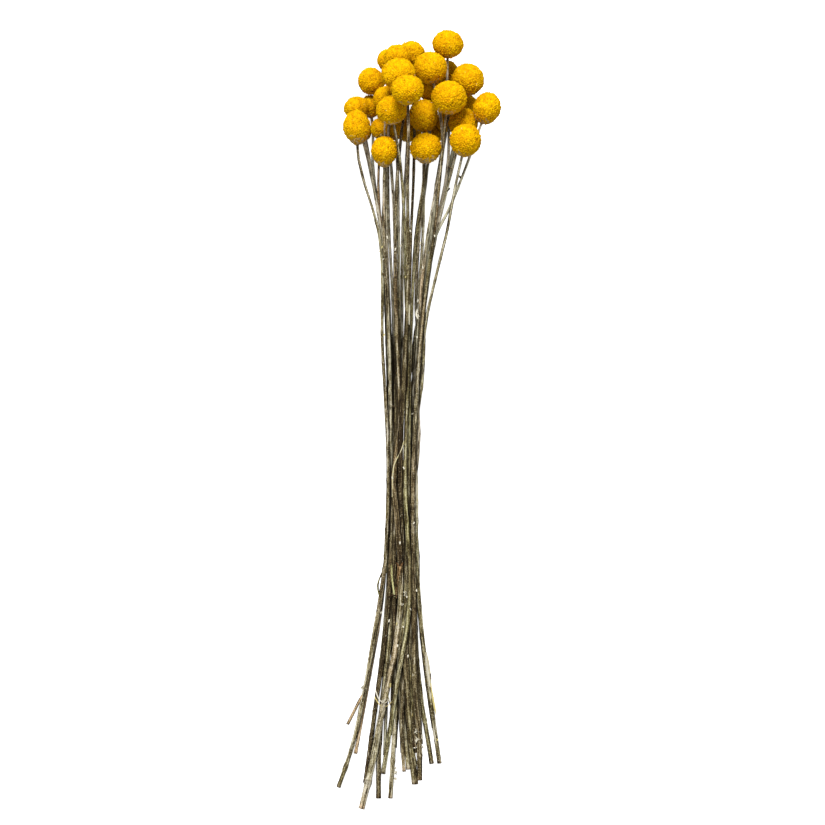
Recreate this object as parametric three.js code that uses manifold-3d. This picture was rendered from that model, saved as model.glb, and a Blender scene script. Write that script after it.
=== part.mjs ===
// A gathered bunch of dried billy buttons, lying on a flat surface.
//
// Thirty stems are drawn together at a waist and fan out at both ends. Each carries one golden globe of
// florets. Millimetres. +Y runs from the cut ends to the flowers, +Z is up, and the surface is at z = 0.
import * as THREE from "three";
import { ConvexHull } from "three/addons/math/ConvexHull.js";
import { mergeVertices } from "three/addons/utils/BufferGeometryUtils.js";
import Module from "manifold-3d";

const wasm = await Module();
wasm.setup();

// ---- driving dimensions -----------------------------------------------------------------------------

const CLEARANCE = 0.3; // between pieces that touch on the real bunch
const NECK_RADIUS = 1; // of a stem under its flower
const FOOT_RADIUS = 1.8; // of a stem at its cut end
const STEM_SIDES = 6;
const STATION_STEP = 20; // along a stem, between the places where its course is worked out
const BEND_TOLERANCE = 0.14; // a station this near the straight line past it needs no ring of its own

const FLORETS = 58; // raised on each head, larger than life
const TIP = 1.025; // how far their tips stand out, as a share of the head's rounded outline
const FLORET_DEPTH = 0.09; // of the hollows between florets, as a share of the head's radius
const SEAT = 0.9; // from a head's centre to the flat under it, as a share of its half length
const FLAT_SPOT = 1.3; // how far a head that lies on the surface is pressed flat, deeper than its hollows

// Heights at which each stem's sideways place is given: where the fan ends, below it, at the waist where the
// bunch is thinnest, and twice in the lower fan.
const THROAT = 462;
const SHOULDER = 406;
const WAIST = 270;
const KNEE = 166;
const FOOT = 86;
const ROW_HEIGHT = 3; // of one layer of stems at the waist

const CONE = 0.06; // how far most heads draw in towards their stem, as a share of their width
const CONE_POWER = 1.5; // how late they do so
const END_STRETCH = 8; // the shortest stretch of a stem at its cut end, and below its head
const HEAD_LIFT = 0.2; // the step in which a head is lifted clear of those under it

const ROUNDS = 700; // in which the stems settle
const CALM = 5 / 6; // the share of the rounds after which they only clear what still touches
const SPRING_SIDEWAYS = 0.15; // the share of a bend that a stem straightens in one round
const SPRING_UPWARDS = 0.35;
const PULL = 0.25; // the share of the way to its own course that it is drawn in one round
const SINK = 0.02; // how far it falls in one round
const SLANT_ROOM = 0.3; // more room between stems that cross, since a slanting stem is wider in section

// One row for each flower. head: its centre x, y, z, its width and its length. stem: the stem's x at the
// throat, shoulder, waist, knee and foot. row: its layer at the waist, 0 lowest. cut: x and y of the cut end.
// cone draws the head in towards its stem, girth thickens the stem, and via bends it through further points.
const FLOWERS = [
  { head: [36, 611, 33, 25, 23], stem: [26, 17.4, 9, 7.4, 9.4], row: 1, cut: [9.6, 46],
    via: [[34.6, 588], [36.8, 515]] },
  { head: [6.5, 602, 11, 22.8, 23.4], stem: [6.4, 5.2, 2.2, 1, -1.4], row: 2, cut: [1, 29], girth: 0.8,
    via: [[9, 515]] },
  { head: [-12.2, 598.4, 8.3, 17, 18], stem: [-11.4, -8, -8.4, -5.4, -2.6], row: 2, cut: [-0.6, 44],
    girth: 0.8, via: [[-12, 502]] },
  { head: [-4.5, 600.4, 30, 21.4, 20.8], stem: [-6.7, -5.4, -5.8, -7.4, -5.6], row: 3, cut: [-10.2, 7.6],
    via: [[-10.7, 512], [-7.4, 492], [-6.8, 58]] },
  { head: [21.8, 592, 42, 26.2, 25], stem: [20, 13.8, 9, 8.8, 11.6], row: 3, cut: [14, 51],
    via: [[24.6, 572], [30, 558], [33, 543], [30.6, 515]] },
  { head: [34.5, 588.6, 9.5, 20, 20], stem: [22.4, 15, 6.5, 6, 4], row: 0, cut: [6, 42] },
  { head: [52, 582.5, 30, 25.6, 26], stem: [26, 15.6, 7.4, 7.2, 10], row: 1, cut: [12, 55] },
  { head: [-25.2, 581.5, 10.6, 21.2, 22.2], stem: [-15, -11.6, -8.6, -10, -7.6], row: 0, cut: [-10, 58],
    via: [[-17, 555]] },
  { head: [-4, 587, 49, 27.4, 23.6], stem: [-6.2, -6.1, -9.2, -1.2, -15], row: 4, cut: [-33.6, -0.4],
    girth: 1.35,
    via: [[-3, 570], [-1.6, 550], [-2.6, 530], [-4.2, 512], [-5.4, 497], [-1.8, 310], [-2.6, 294], [-6.4, 279],
      [-9.3, 262], [-5.4, 240], [-2.8, 212], [-1.6, 192], [-2.6, 150], [-4.8, 131], [-9.2, 109], [-20, 60],
      [-24.4, 34]] },
  { head: [3.8, 574, 68, 26, 23.8], stem: [4, 3.5, -2, 0.8, 3.6], row: 3, cut: [9.6, 19], girth: 1.4,
    via: [[4.6, 545], [4.4, 520], [3.4, 497], [6.4, 58]] },
  { head: [36.7, 568, 55, 28, 26.6], stem: [25.6, 17, 8.3, 8.6, 9.6], row: 3, cut: [13, 22], girth: 1.1,
    via: [[33, 543], [30.4, 515], [13, 58]] },
  { head: [-12.8, 567, 24, 22, 21.6], stem: [-13.6, -11.2, -7, -11.4, -21.4], row: 2, cut: [-30, 20],
    via: [[-13.8, 545], [-12.8, 511], [-9.6, 350], [-16, 118]] },
  { head: [-9.2, 558, 54, 24.8, 22.8], stem: [2.2, 2, 1.1, 6, -6.8], row: 4, cut: [-15.9, 27.4],
    via: [[-4, 535], [-1.9, 520], [0.7, 482], [4.5, 380], [1.8, 302], [5.2, 150], [2.4, 134], [-3.4, 109],
      [-11, 60]] },
  { head: [-37.2, 560, 23.5, 20, 18.4], stem: [-17, -14, -10.6, -12, -21.4], row: 1, cut: [-26.4, 46],
    via: [[-29, 536], [-25.9, 514], [-21.8, 486]] },
  { head: [-26, 561.5, 8.4, 18, 18], stem: [-16, -11.4, -8.6, -10.2, -17], row: 0, cut: [-18.6, 50],
    via: [[-25.6, 530], [-23.6, 506], [-20.8, 481], [-13, 118]] },
  { head: [67, 559.5, 28, 21.8, 25.6], stem: [26.4, 16.6, 8.9, 8.8, 13.6], row: 2, cut: [22.5, 35.4],
    via: [[60.8, 541], [51.8, 516], [41.8, 490], [35, 473], [19.7, 58]], cone: 0.12 },
  { head: [51, 563, 7.8, 16.6, 16.6], stem: [25.6, 15.8, 8, 7, 9], row: 0, cut: [10.6, 54] },
  { head: [-37, 544, 42, 21.8, 28], stem: [-18.6, -16.3, -11.6, -18.2, -31.6], row: 3, cut: [-52.4, 16.6],
    via: [[-38.4, 529], [-36.6, 517], [-31.6, 500], [-23.4, 478], [-17.2, 384], [-16.4, 362], [-14.8, 340],
      [-13.4, 316], [-12.3, 296], [-12, 246], [-13.2, 214], [-14, 190], [-15.4, 176], [-20.8, 152],
      [-25, 128], [-37.6, 58], [-45.7, 32]],
    cone: 0.35 },
  { head: [-34, 541.5, 8.3, 17.4, 17.6], stem: [-16.8, -14.4, -10.6, -10.8, -13.4], row: 0, cut: [-14.6, 42],
    girth: 0.75, via: [[-29.5, 527], [-27, 514], [-21.8, 486], [-11.6, 118]] },
  { head: [-17, 543.5, 8.4, 18, 18], stem: [-17.4, -13, -10.6, -16.4, -30.2], row: 1, cut: [-38, 43.3],
    via: [[-20, 515], [-19.5, 481]], girth: 0.75 },
  { head: [16.2, 553.4, 28.5, 23.4, 26.6], stem: [16.4, 12.2, 6, 5.6, 7.6], row: 2, cut: [9.6, 48] },
  { head: [35.2, 549.6, 8.4, 17.6, 17.6], stem: [23.6, 15, 7, 6, 5], row: 1, cut: [6, 50] },
  { head: [48.3, 548, 25.5, 23.4, 23.4], stem: [27, 17.4, 9.6, 12.2, 21], row: 1, cut: [24.8, 64],
    via: [[40.4, 515], [9.2, 212]] },
  { head: [4.2, 544.5, 11, 22.6, 22.6], stem: [-0.4, -0.8, -1.4, 0, -1], row: 1, cut: [1.6, 46],
    via: [[2.4, 515]] },
  { head: [50, 534, 46, 25, 25.8], stem: [36, 21.6, 11, 12.7, 22], row: 3, cut: [29, 35.6],
    via: [[45.8, 515], [40, 490], [30.7, 443], [26.1, 424], [16.3, 384], [16.8, 362], [16.4, 346], [13.8, 320],
      [11.8, 290], [11.4, 252], [10, 212], [10.6, 190], [16.2, 130], [26.2, 58]] },
  { head: [-14.7, 525, 44, 21.2, 25], stem: [-15.6, -12.4, -9, -9, -16.4], row: 2, cut: [-19.6, 7.6],
    via: [[-14.7, 511], [-12, 118], [-19.2, 58]], cone: 0.3, girth: 1.1 },
  { head: [18.2, 527.6, 46, 24.8, 24.2], stem: [11.6, 7.2, 4.4, 3, -0.6], row: 3, cut: [4.4, 30.6], cone: 0.15,
    via: [[17.5, 508], [1.6, 58]] },
  { head: [22.2, 577, 24, 22.8, 23.8], stem: [13, 10, 6.4, 6.2, 9], row: 1, cut: [11.2, 44],
    via: [[19.6, 511]] },
  { head: [25.2, 540, 7.6, 16, 16], stem: [10.2, 7.4, 3.4, 3.6, 3], row: 0, cut: [4, 52],
    via: [[14.8, 490]] },
  { head: [-6, 542.5, 27, 16, 16], stem: [-3.6, -3.2, -3.2, -3.8, -4.6], row: 1, cut: [-7, 48],
    via: [[-4.4, 515]] },
];

// What grows from the side of a stem: the number of its stem, the height it leaves at, then its course from
// the stem's middle there and its radius along it. A side twig, a strip of dry leaf that peels away in a loop,
// and the loose end of a leaf's sleeve.
const SHOOTS = [
  { stem: 18, from: 93, course: [[0, 0, 0], [-4, -7, 0.2], [-13.8, -26.5, 0]], radii: [0.8, 1.2, 1.1] },
  { stem: 18, from: 187,
    course: [[0, 0, 0], [-3.6, -3.6, 0.2], [-5, -9, 0.4], [-4.4, -14, 0.4], [-2.8, -20, 0]],
    radii: [0.4, 0.35, 0.35, 0.35, 0.4] },
  { stem: 25, from: 121, course: [[0, 0, 0.5], [2.6, -8, 1], [5.2, -26, 1], [9, -47, 0.6]],
    radii: [0.6, 1.1, 1.1, 0.6] },
];

// ---- where the pieces lie ---------------------------------------------------------------------------

const lerp = THREE.MathUtils.lerp;
const clamp = THREE.MathUtils.clamp;

// A head's radius along a unit direction: its width is across the stem and its length along it.
function reach(head, direction) {
  const across = head.width / 2;
  const along = head.length / 2;
  return Math.hypot(across * Math.hypot(direction.x, direction.z), along * direction.y);
}

function headsOverlap(a, b) {
  const apart = b.centre.clone().sub(a.centre);
  const distance = apart.length();
  const direction = apart.divideScalar(distance);
  return distance < reach(a, direction) + reach(b, direction) + CLEARANCE;
}

// From the lowest head up, each is lifted until it clears those under it.
function stackHeads(heads) {
  const placed = [];
  for (const head of [...heads].sort((a, b) => a.centre.z - b.centre.z)) {
    while (placed.some((other) => headsOverlap(head, other))) head.centre.z += HEAD_LIFT;
    placed.push(head);
  }
}

// The sideways course of a stem as a smooth curve through its given points, as a function of y.
function sidewaysCourse(flower, head) {
  const [throat, shoulder, waist, knee, foot] = flower.stem;
  const given = [
    [throat, THROAT], [shoulder, SHOULDER], [waist, WAIST], [knee, KNEE], [foot, FOOT],
    ...(flower.via ?? []), flower.cut, [head.centre.x, head.centre.y],
  ].sort((a, b) => a[1] - b[1]);
  const heights = given.map((point) => point[1]);
  const curve = new THREE.CubicInterpolant(heights, given.map((point) => point[0]), 1);
  return (y) => curve.evaluate(clamp(y, heights[0], heights.at(-1)))[0];
}

// A stem as a chain of stations from its cut end to the centre of its head. Heights stay as they are.
function layStem(flower, head) {
  const x = sidewaysCourse(flower, head);
  const cutY = flower.cut[1];
  const neckY = head.centre.y - head.length / 2 - END_STRETCH;
  const heights = [cutY];
  for (let y = STATION_STEP; y < neckY; y += STATION_STEP) if (y > cutY + END_STRETCH) heights.push(y);
  heights.push(head.centre.y);
  const girth = flower.girth ?? 1;
  const waistZ = (flower.row + 0.5) * ROW_HEIGHT;
  return heights.map((y) => {
    const up = clamp((y - WAIST) / (head.centre.y - WAIST), 0, 1);
    const radius = lerp(FOOT_RADIUS, NECK_RADIUS, y / head.centre.y) * lerp(girth, 1, up);
    const z = y > WAIST ? lerp(waistZ, head.centre.z, up) : lerp(radius, waistZ, y / WAIST);
    return { x: x(y), y, z, aimX: x(y), radius };
  });
}

// The two stations either side of a height, and how far along it lies between them.
function spanAt(chain, y) {
  let k = 1;
  while (k < chain.length - 1 && chain[k].y <= y) k++;
  return { low: chain[k - 1], high: chain[k] };
}

const shareOf = (span, y) => clamp((y - span.low.y) / (span.high.y - span.low.y), 0, 1);

// Every stretch of height along which two stems both run straight.
function stretchesBetween(a, b) {
  const from = Math.max(a[0].y, b[0].y);
  const to = Math.min(a.at(-1).y, b.at(-1).y);
  const heights = [...a, ...b].map((station) => station.y).filter((y) => y > from && y < to);
  const edges = [...new Set([from, ...heights, to])].sort((p, q) => p - q);
  return edges.slice(1).map((top, k) => {
    const base = edges[k];
    const middle = (base + top) / 2;
    const one = spanAt(a, middle);
    const other = spanAt(b, middle);
    return {
      one, other,
      base: [shareOf(one, base), shareOf(other, base)],
      top: [shareOf(one, top), shareOf(other, top)],
    };
  });
}

// Moves both ends of a span so that the point at share t moves by dx, dz.
function shift(span, t, dx, dz) {
  const weight = 1 / (t * t + (1 - t) * (1 - t));
  span.low.x += dx * weight * (1 - t);
  span.low.z += dz * weight * (1 - t);
  span.high.x += dx * weight * t;
  span.high.z += dz * weight * t;
}

// Pushes two stems apart where they come closest within a stretch.
function partStems({ one, other, base, top }) {
  const gap = (shares, axis) =>
    lerp(other.low[axis], other.high[axis], shares[1]) - lerp(one.low[axis], one.high[axis], shares[0]);
  const x0 = gap(base, "x");
  const x1 = gap(top, "x") - x0;
  if (Math.min(Math.abs(x0), Math.abs(x0 + x1)) > 3 * FOOT_RADIUS && x0 * (x0 + x1) > 0) return;
  const z0 = gap(base, "z");
  const z1 = gap(top, "z") - z0;
  const change = x1 * x1 + z1 * z1;
  const t = change > 1e-9 ? clamp(-(x0 * x1 + z0 * z1) / change, 0, 1) : 0.5;
  const dx = x0 + t * x1;
  const dz = z0 + t * z1;
  const distance = Math.hypot(dx, dz);
  const s = [lerp(base[0], top[0], t), lerp(base[1], top[1], t)];
  const slope = Math.hypot(x1, z1) / STATION_STEP;
  const need = (lerp(one.low.radius, one.high.radius, s[0]) + lerp(other.low.radius, other.high.radius, s[1]))
    * (1 + SLANT_ROOM * slope * slope) + CLEARANCE;
  if (distance >= need) return;
  const push = (need - distance) / 2 / Math.max(distance, 1e-6);
  shift(one, s[0], -dx * push, -dz * push);
  shift(other, s[1], dx * push, dz * push);
}

// The places along a stem that a head could touch, with how wide the head is there.
function placesBeside(chain, head) {
  const places = [];
  const samples = 5;
  for (let k = 1; k < chain.length; k++) {
    const span = { low: chain[k - 1], high: chain[k] };
    for (let i = 0; i <= samples; i++) {
      const t = i / samples;
      const room = lerp(span.low.radius, span.high.radius, t) + CLEARANCE;
      const along = (lerp(span.low.y, span.high.y, t) - head.centre.y) / (head.length / 2 + room);
      if (Math.abs(along) < 1)
        places.push({ span, t, head, need: (head.width / 2 + room) * Math.sqrt(1 - along * along) });
    }
  }
  return places;
}

function clearHead({ span, t, head, need }) {
  const dx = lerp(span.low.x, span.high.x, t) - head.centre.x;
  const dz = lerp(span.low.z, span.high.z, t) - head.centre.z;
  const distance = Math.hypot(dx, dz);
  if (distance >= need) return;
  const push = (need - distance) / Math.max(distance, 1e-6);
  shift(span, t, dx * push, dz * push);
}

// Lets the stems find their places: each is drawn to its own course, springs straight, and sinks on the ones
// below, but stays clear of its neighbours, the heads and the surface.
function settle(stems, heads) {
  const stretches = [];
  const places = [];
  stems.forEach((chain, i) => {
    stems.slice(i + 1).forEach((other) => stretches.push(...stretchesBetween(chain, other)));
    heads.forEach((head, j) => i !== j && places.push(...placesBeside(chain, head)));
  });
  for (let round = 0; round < ROUNDS; round++) {
    const ease = clamp(2 * (1 - round / (CALM * ROUNDS)), 0, 1);
    stems.forEach((chain, i) => {
      for (let k = chain.length - 2; k >= 0; k--) {
        const here = chain[k];
        const [low, high] = k ? [chain[k - 1], chain[k + 1]] : [chain[1], chain[2]];
        const t = (here.y - low.y) / (high.y - low.y);
        here.x += ease * SPRING_SIDEWAYS * (lerp(low.x, high.x, t) - here.x);
        here.z += ease * SPRING_UPWARDS * (lerp(low.z, high.z, t) - here.z);
      }
      for (const here of chain) {
        here.x += ease * PULL * (here.aimX - here.x);
        here.z -= ease * SINK;
      }
      chain.at(-1).x = heads[i].centre.x;
      chain.at(-1).z = heads[i].centre.z;
    });
    for (let pass = 0; pass < 2; pass++) {
      stretches.forEach(partStems);
      places.forEach(clearHead);
      for (const chain of stems) for (const here of chain) here.z = Math.max(here.z, here.radius);
      stems.forEach((chain, i) => {
        chain.at(-1).x = heads[i].centre.x;
        chain.at(-1).z = heads[i].centre.z;
      });
    }
  }
}

// ---- shapes -----------------------------------------------------------------------------------------

function solidOf(geometry) {
  const plain = geometry.clone();
  for (const name of Object.keys(plain.attributes)) if (name !== "position") plain.deleteAttribute(name);
  const merged = mergeVertices(plain, 1e-4);
  return new wasm.Manifold(new wasm.Mesh({
    numProp: 3,
    vertProperties: merged.attributes.position.array,
    triVerts: new Uint32Array(merged.index.array),
  }));
}

function geometryOf(solid) {
  const { vertProperties, triVerts } = solid.getMesh();
  return new THREE.BufferGeometry()
    .setAttribute("position", new THREE.BufferAttribute(vertProperties, 3))
    .setIndex(new THREE.BufferAttribute(triVerts, 1));
}

// A cylinder bent through points, with a radius at each.
function bentCylinder(points, radii) {
  const last = points.length - 1;
  const tube = new THREE.CylinderGeometry(1, 1, 1, STEM_SIDES, last);
  const place = tube.attributes.position;
  const rings = points.map((point, k) => {
    const along = points[Math.min(k + 1, last)].clone().sub(points[Math.max(k - 1, 0)]).normalize();
    const side = new THREE.Vector3(0, 0, 1).cross(along).normalize();
    return { point, side, back: side.clone().cross(along), radius: radii[k] };
  });
  for (let i = 0; i < place.count; i++) {
    const { point, side, back, radius } = rings[Math.round((place.getY(i) + 0.5) * last)];
    const at = point.clone()
      .addScaledVector(side, place.getX(i) * radius)
      .addScaledVector(back, place.getZ(i) * radius);
    place.setXYZ(i, at.x, at.y, at.z);
  }
  return tube;
}

// Leaves out the stations that lie on the straight line between their neighbours.
function straighten(points, radii) {
  const keep = [0];
  for (let from = 0; from < points.length - 1; ) {
    let to = from + 1;
    const isStraight = (end) => {
      const line = new THREE.Line3(points[from], points[end]);
      const nearest = new THREE.Vector3();
      return points.slice(from + 1, end)
        .every((point) => line.closestPointToPoint(point, true, nearest).distanceTo(point) < BEND_TOLERANCE);
    };
    while (to + 1 < points.length && isStraight(to + 1)) to++;
    keep.push(to);
    from = to;
  }
  return { points: keep.map((k) => points[k]), radii: keep.map((k) => radii[k]) };
}

// The way a head faces: on from the last stretch of its stem.
function facing(chain) {
  const below = chain.at(-2);
  const centre = chain.at(-1);
  return new THREE.Vector3(centre.x - below.x, centre.y - below.y, centre.z - below.z).normalize();
}

function stemGeometry(chain, head, shoots) {
  const points = chain.map(({ x, y, z }) => new THREE.Vector3(x, y, z));
  const under = (head.length / 2) * SEAT + CLEARANCE;
  points[points.length - 1].addScaledVector(facing(chain), -under);
  const course = straighten(points, chain.map((station) => station.radius));
  let solid = solidOf(bentCylinder(course.points, course.radii));
  for (const shoot of shoots) {
    const span = spanAt(chain, shoot.from);
    const t = shareOf(span, shoot.from);
    const [x, z] = ["x", "z"].map((axis) => lerp(span.low[axis], span.high[axis], t));
    const root = new THREE.Vector3(x, shoot.from, z);
    const way = shoot.course.map((step) => root.clone().add(new THREE.Vector3(...step)));
    solid = solid.add(solidOf(bentCylinder(way, shoot.radii)));
  }
  return geometryOf(solid);
}

// Points spread evenly over a sphere along a spiral, as the florets of a head are.
function spiralDirections(count, turn) {
  const goldenAngle = Math.PI * (3 - Math.sqrt(5));
  return Array.from({ length: count }, (_, i) => {
    const y = 1 - (2 * (i + 0.5)) / count;
    const ring = Math.sqrt(1 - y * y);
    const angle = turn + i * goldenAngle;
    return new THREE.Vector3(ring * Math.cos(angle), y, ring * Math.sin(angle));
  });
}

// A globe of florets, its axis along +Y: the hull of the spiral's points gives their tips, and the middle of
// each of its faces sinks in between them. It is flat where the stem meets it, and where it lies down.
function headGeometry(head, down, turn) {
  const onHead = (direction, share) => {
    const draw = 1 - head.cone * Math.pow(Math.max(-direction.y, 0), CONE_POWER);
    const across = draw * (head.width / 2);
    const along = head.length / 2;
    const place = new THREE.Vector3(direction.x * across, direction.y * along, direction.z * across)
      .multiplyScalar(share);
    place.y = Math.max(place.y, (-head.length / 2) * SEAT);
    const sunk = place.dot(down) - head.centre.z;
    return sunk > 0 ? place.addScaledVector(down, -sunk) : place;
  };
  const corners = [];
  for (const face of new ConvexHull().setFromPoints(spiralDirections(FLORETS, turn)).faces) {
    const ring = [face.edge.tail().point, face.edge.head().point, face.edge.next.head().point];
    const middle = ring[0].clone().add(ring[1]).add(ring[2]).normalize();
    const hollow = onHead(middle, 1 - FLORET_DEPTH);
    ring.forEach((tip, i) => corners.push(onHead(tip, 1), onHead(ring[(i + 1) % 3], 1), hollow));
  }
  return new THREE.BufferGeometry().setFromPoints(corners);
}

// ---- assembly ---------------------------------------------------------------------------------------

const bunch = new THREE.Group();
const heads = FLOWERS.map(({ head: [x, y, z, width, length], cone = CONE }) => (
  { centre: new THREE.Vector3(x, y, z), width: width * TIP, length: length * TIP, cone }
));
stackHeads(heads);
for (const head of heads)
  if (head.centre.z <= head.width / 2) head.centre.z = head.width / 2 - FLAT_SPOT;
const stems = FLOWERS.map((flower, i) => layStem(flower, heads[i]));
settle(stems, heads);

FLOWERS.forEach((flower, i) => {
  const number = String(i + 1).padStart(2, "0");
  const bloom = new THREE.Mesh(
    new THREE.BufferGeometry(),
    new THREE.MeshStandardMaterial({ color: 0xe8a800, roughness: 0.95, metalness: 0 }),
  );
  bloom.name = "head_" + number;
  bloom.position.copy(heads[i].centre);
  bloom.quaternion.setFromUnitVectors(new THREE.Vector3(0, 1, 0), facing(stems[i]));
  const down = new THREE.Vector3(0, 0, -1).applyQuaternion(bloom.quaternion.clone().invert());
  bloom.geometry = headGeometry(heads[i], down, i);

  const stem = new THREE.Mesh(
    stemGeometry(stems[i], heads[i], SHOOTS.filter((shoot) => shoot.stem === i + 1)),
    new THREE.MeshStandardMaterial({ color: 0x857c68, roughness: 0.85, metalness: 0 }),
  );
  stem.name = "stem_" + number;
  bunch.add(bloom, stem);
});

const box = new THREE.Box3().setFromObject(bunch, true);
const middle = box.getCenter(new THREE.Vector3());
bunch.position.set(-middle.x, -middle.y, -box.min.z);

export default bunch;
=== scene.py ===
"""Dried billy buttons: thirty golden flower heads on long wiry stems, gathered and laid down.

The stems run along Y, with the flowers at the +Y end. Shapes are worked out in millimetres and turned
into metres when a piece is made.
"""

import math

import bmesh
import bpy
import numpy as np
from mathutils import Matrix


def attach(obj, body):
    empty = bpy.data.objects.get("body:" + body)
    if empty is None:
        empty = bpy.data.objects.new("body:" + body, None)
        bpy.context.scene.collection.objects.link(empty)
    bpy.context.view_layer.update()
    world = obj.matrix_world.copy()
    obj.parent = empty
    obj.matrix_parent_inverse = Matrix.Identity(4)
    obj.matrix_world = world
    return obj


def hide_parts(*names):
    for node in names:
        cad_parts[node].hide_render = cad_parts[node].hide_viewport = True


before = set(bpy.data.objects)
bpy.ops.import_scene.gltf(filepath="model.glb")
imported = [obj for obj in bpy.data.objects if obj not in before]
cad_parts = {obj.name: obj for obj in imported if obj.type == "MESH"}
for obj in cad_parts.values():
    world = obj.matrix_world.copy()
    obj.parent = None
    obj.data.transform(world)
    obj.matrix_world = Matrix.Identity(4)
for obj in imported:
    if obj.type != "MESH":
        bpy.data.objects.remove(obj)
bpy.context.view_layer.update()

MM = 0.001
STEMS = range(1, 31)
UP = np.array([0.0, 0.0, 1.0])
LOWEST = 0.02  # no point of the bunch lies lower, just clear of what it rests on
chance = np.random.default_rng(20)


# ---- finishes ----------------------------------------------------------------------------------


class Amount:
    """A number that varies over a surface. Python's own arithmetic works on it."""

    def __init__(self, finish, socket):
        self.finish = finish
        self.socket = socket

    def reckon(self, operation, *others, limited=False):
        made = self.finish.node("ShaderNodeMath", {"operation": operation, "use_clamp": limited})
        for socket, value in zip(made.inputs, others):
            self.finish.feed(socket, value)
        return Amount(self.finish, made.outputs[0])

    def __add__(self, other):
        return self.reckon("ADD", self, other)

    def __sub__(self, other):
        return self.reckon("SUBTRACT", self, other)

    def __rsub__(self, other):
        return self.reckon("SUBTRACT", other, self)

    def __mul__(self, other):
        return self.reckon("MULTIPLY", self, other)

    def __neg__(self):
        return self * -1.0

    __radd__ = __add__
    __rmul__ = __mul__

    def limited(self):
        """The same number, kept between 0 and 1."""
        return self.reckon("ADD", self, 0.0, limited=True)

    def step(self, low, high):
        """0 below low, 1 above high, and smooth in between."""
        made = self.finish.node(
            "ShaderNodeMapRange",
            {"interpolation_type": "SMOOTHSTEP"},
            {"Value": self, "From Min": low, "From Max": high},
        )
        return Amount(self.finish, made.outputs["Result"])


class Tree:
    """The nodes of a material or of the sky."""

    def __init__(self, tree):
        self.tree = tree

    def feed(self, socket, value):
        if isinstance(value, Amount):
            value = value.socket
        if isinstance(value, bpy.types.NodeSocket):
            self.tree.links.new(value, socket)
        else:
            socket.default_value = value

    def node(self, kind, settings=None, inputs=None):
        """Any node: its type, then its settings, then what goes into its sockets."""
        made = self.tree.nodes.new(kind)
        for name, value in (settings or {}).items():
            setattr(made, name, value)
        for name, value in (inputs or {}).items():
            self.feed(made.inputs[name], value)
        return made


class Finish(Tree):
    """A procedural material. Its settings are the shader's own sockets, with _ for each space."""

    def __init__(self, name, **settings):
        self.material = bpy.data.materials.new(name)
        self.material.use_nodes = True
        super().__init__(self.material.node_tree)
        self.shader = self.tree.nodes["Principled BSDF"]
        for socket, value in settings.items():
            self.shader.inputs[socket.replace("_", " ")].default_value = value

    def mark(self, name):
        """A number that the mesh carries at each of its points."""
        return Amount(self, self.node("ShaderNodeAttribute", {"attribute_name": name}).outputs["Fac"])

    def grain(self, name):
        """A place that the mesh carries at each of its points."""
        return self.node("ShaderNodeAttribute", {"attribute_name": name}).outputs["Vector"]

    def here(self):
        return self.node("ShaderNodeTexCoord").outputs["Object"]

    def noise(self, where, scale, detail=3.0, roughness=0.6):
        made = self.node(
            "ShaderNodeTexNoise",
            {},
            {"Vector": where, "Scale": scale, "Detail": detail, "Roughness": roughness},
        )
        return Amount(self, made.outputs["Fac"])

    def blend(self, share, first, second, way="MIX"):
        """A colour between two others."""
        made = self.node("ShaderNodeMix", {"data_type": "RGBA", "blend_type": way})
        self.feed(made.inputs["Factor"], share)
        colours = [socket for socket in made.inputs if socket.type == "RGBA"]
        for socket, value in zip(colours, (first, second)):
            self.feed(socket, (*value, 1.0) if isinstance(value, tuple) else value)
        return next(socket for socket in made.outputs if socket.type == "RGBA")

    def ramp(self, share, tints):
        """A colour read off a row of tints, each with its place from 0 to 1."""
        made = self.node("ShaderNodeValToRGB", {}, {"Fac": share})
        while len(made.color_ramp.elements) < len(tints):
            made.color_ramp.elements.new(0.5)
        for element, (place, colour) in zip(made.color_ramp.elements, tints):
            element.position = place
            element.color = (*colour, 1.0)
        return made.outputs["Color"]

    def colour(self, value):
        self.feed(self.shader.inputs["Base Color"], value)

    def roughness(self, value):
        self.feed(self.shader.inputs["Roughness"], value)

    def bump(self, height, strength, distance):
        made = self.node(
            "ShaderNodeBump", {}, {"Strength": strength, "Distance": distance, "Height": height}
        )
        self.feed(self.shader.inputs["Normal"], made.outputs["Normal"])


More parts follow.
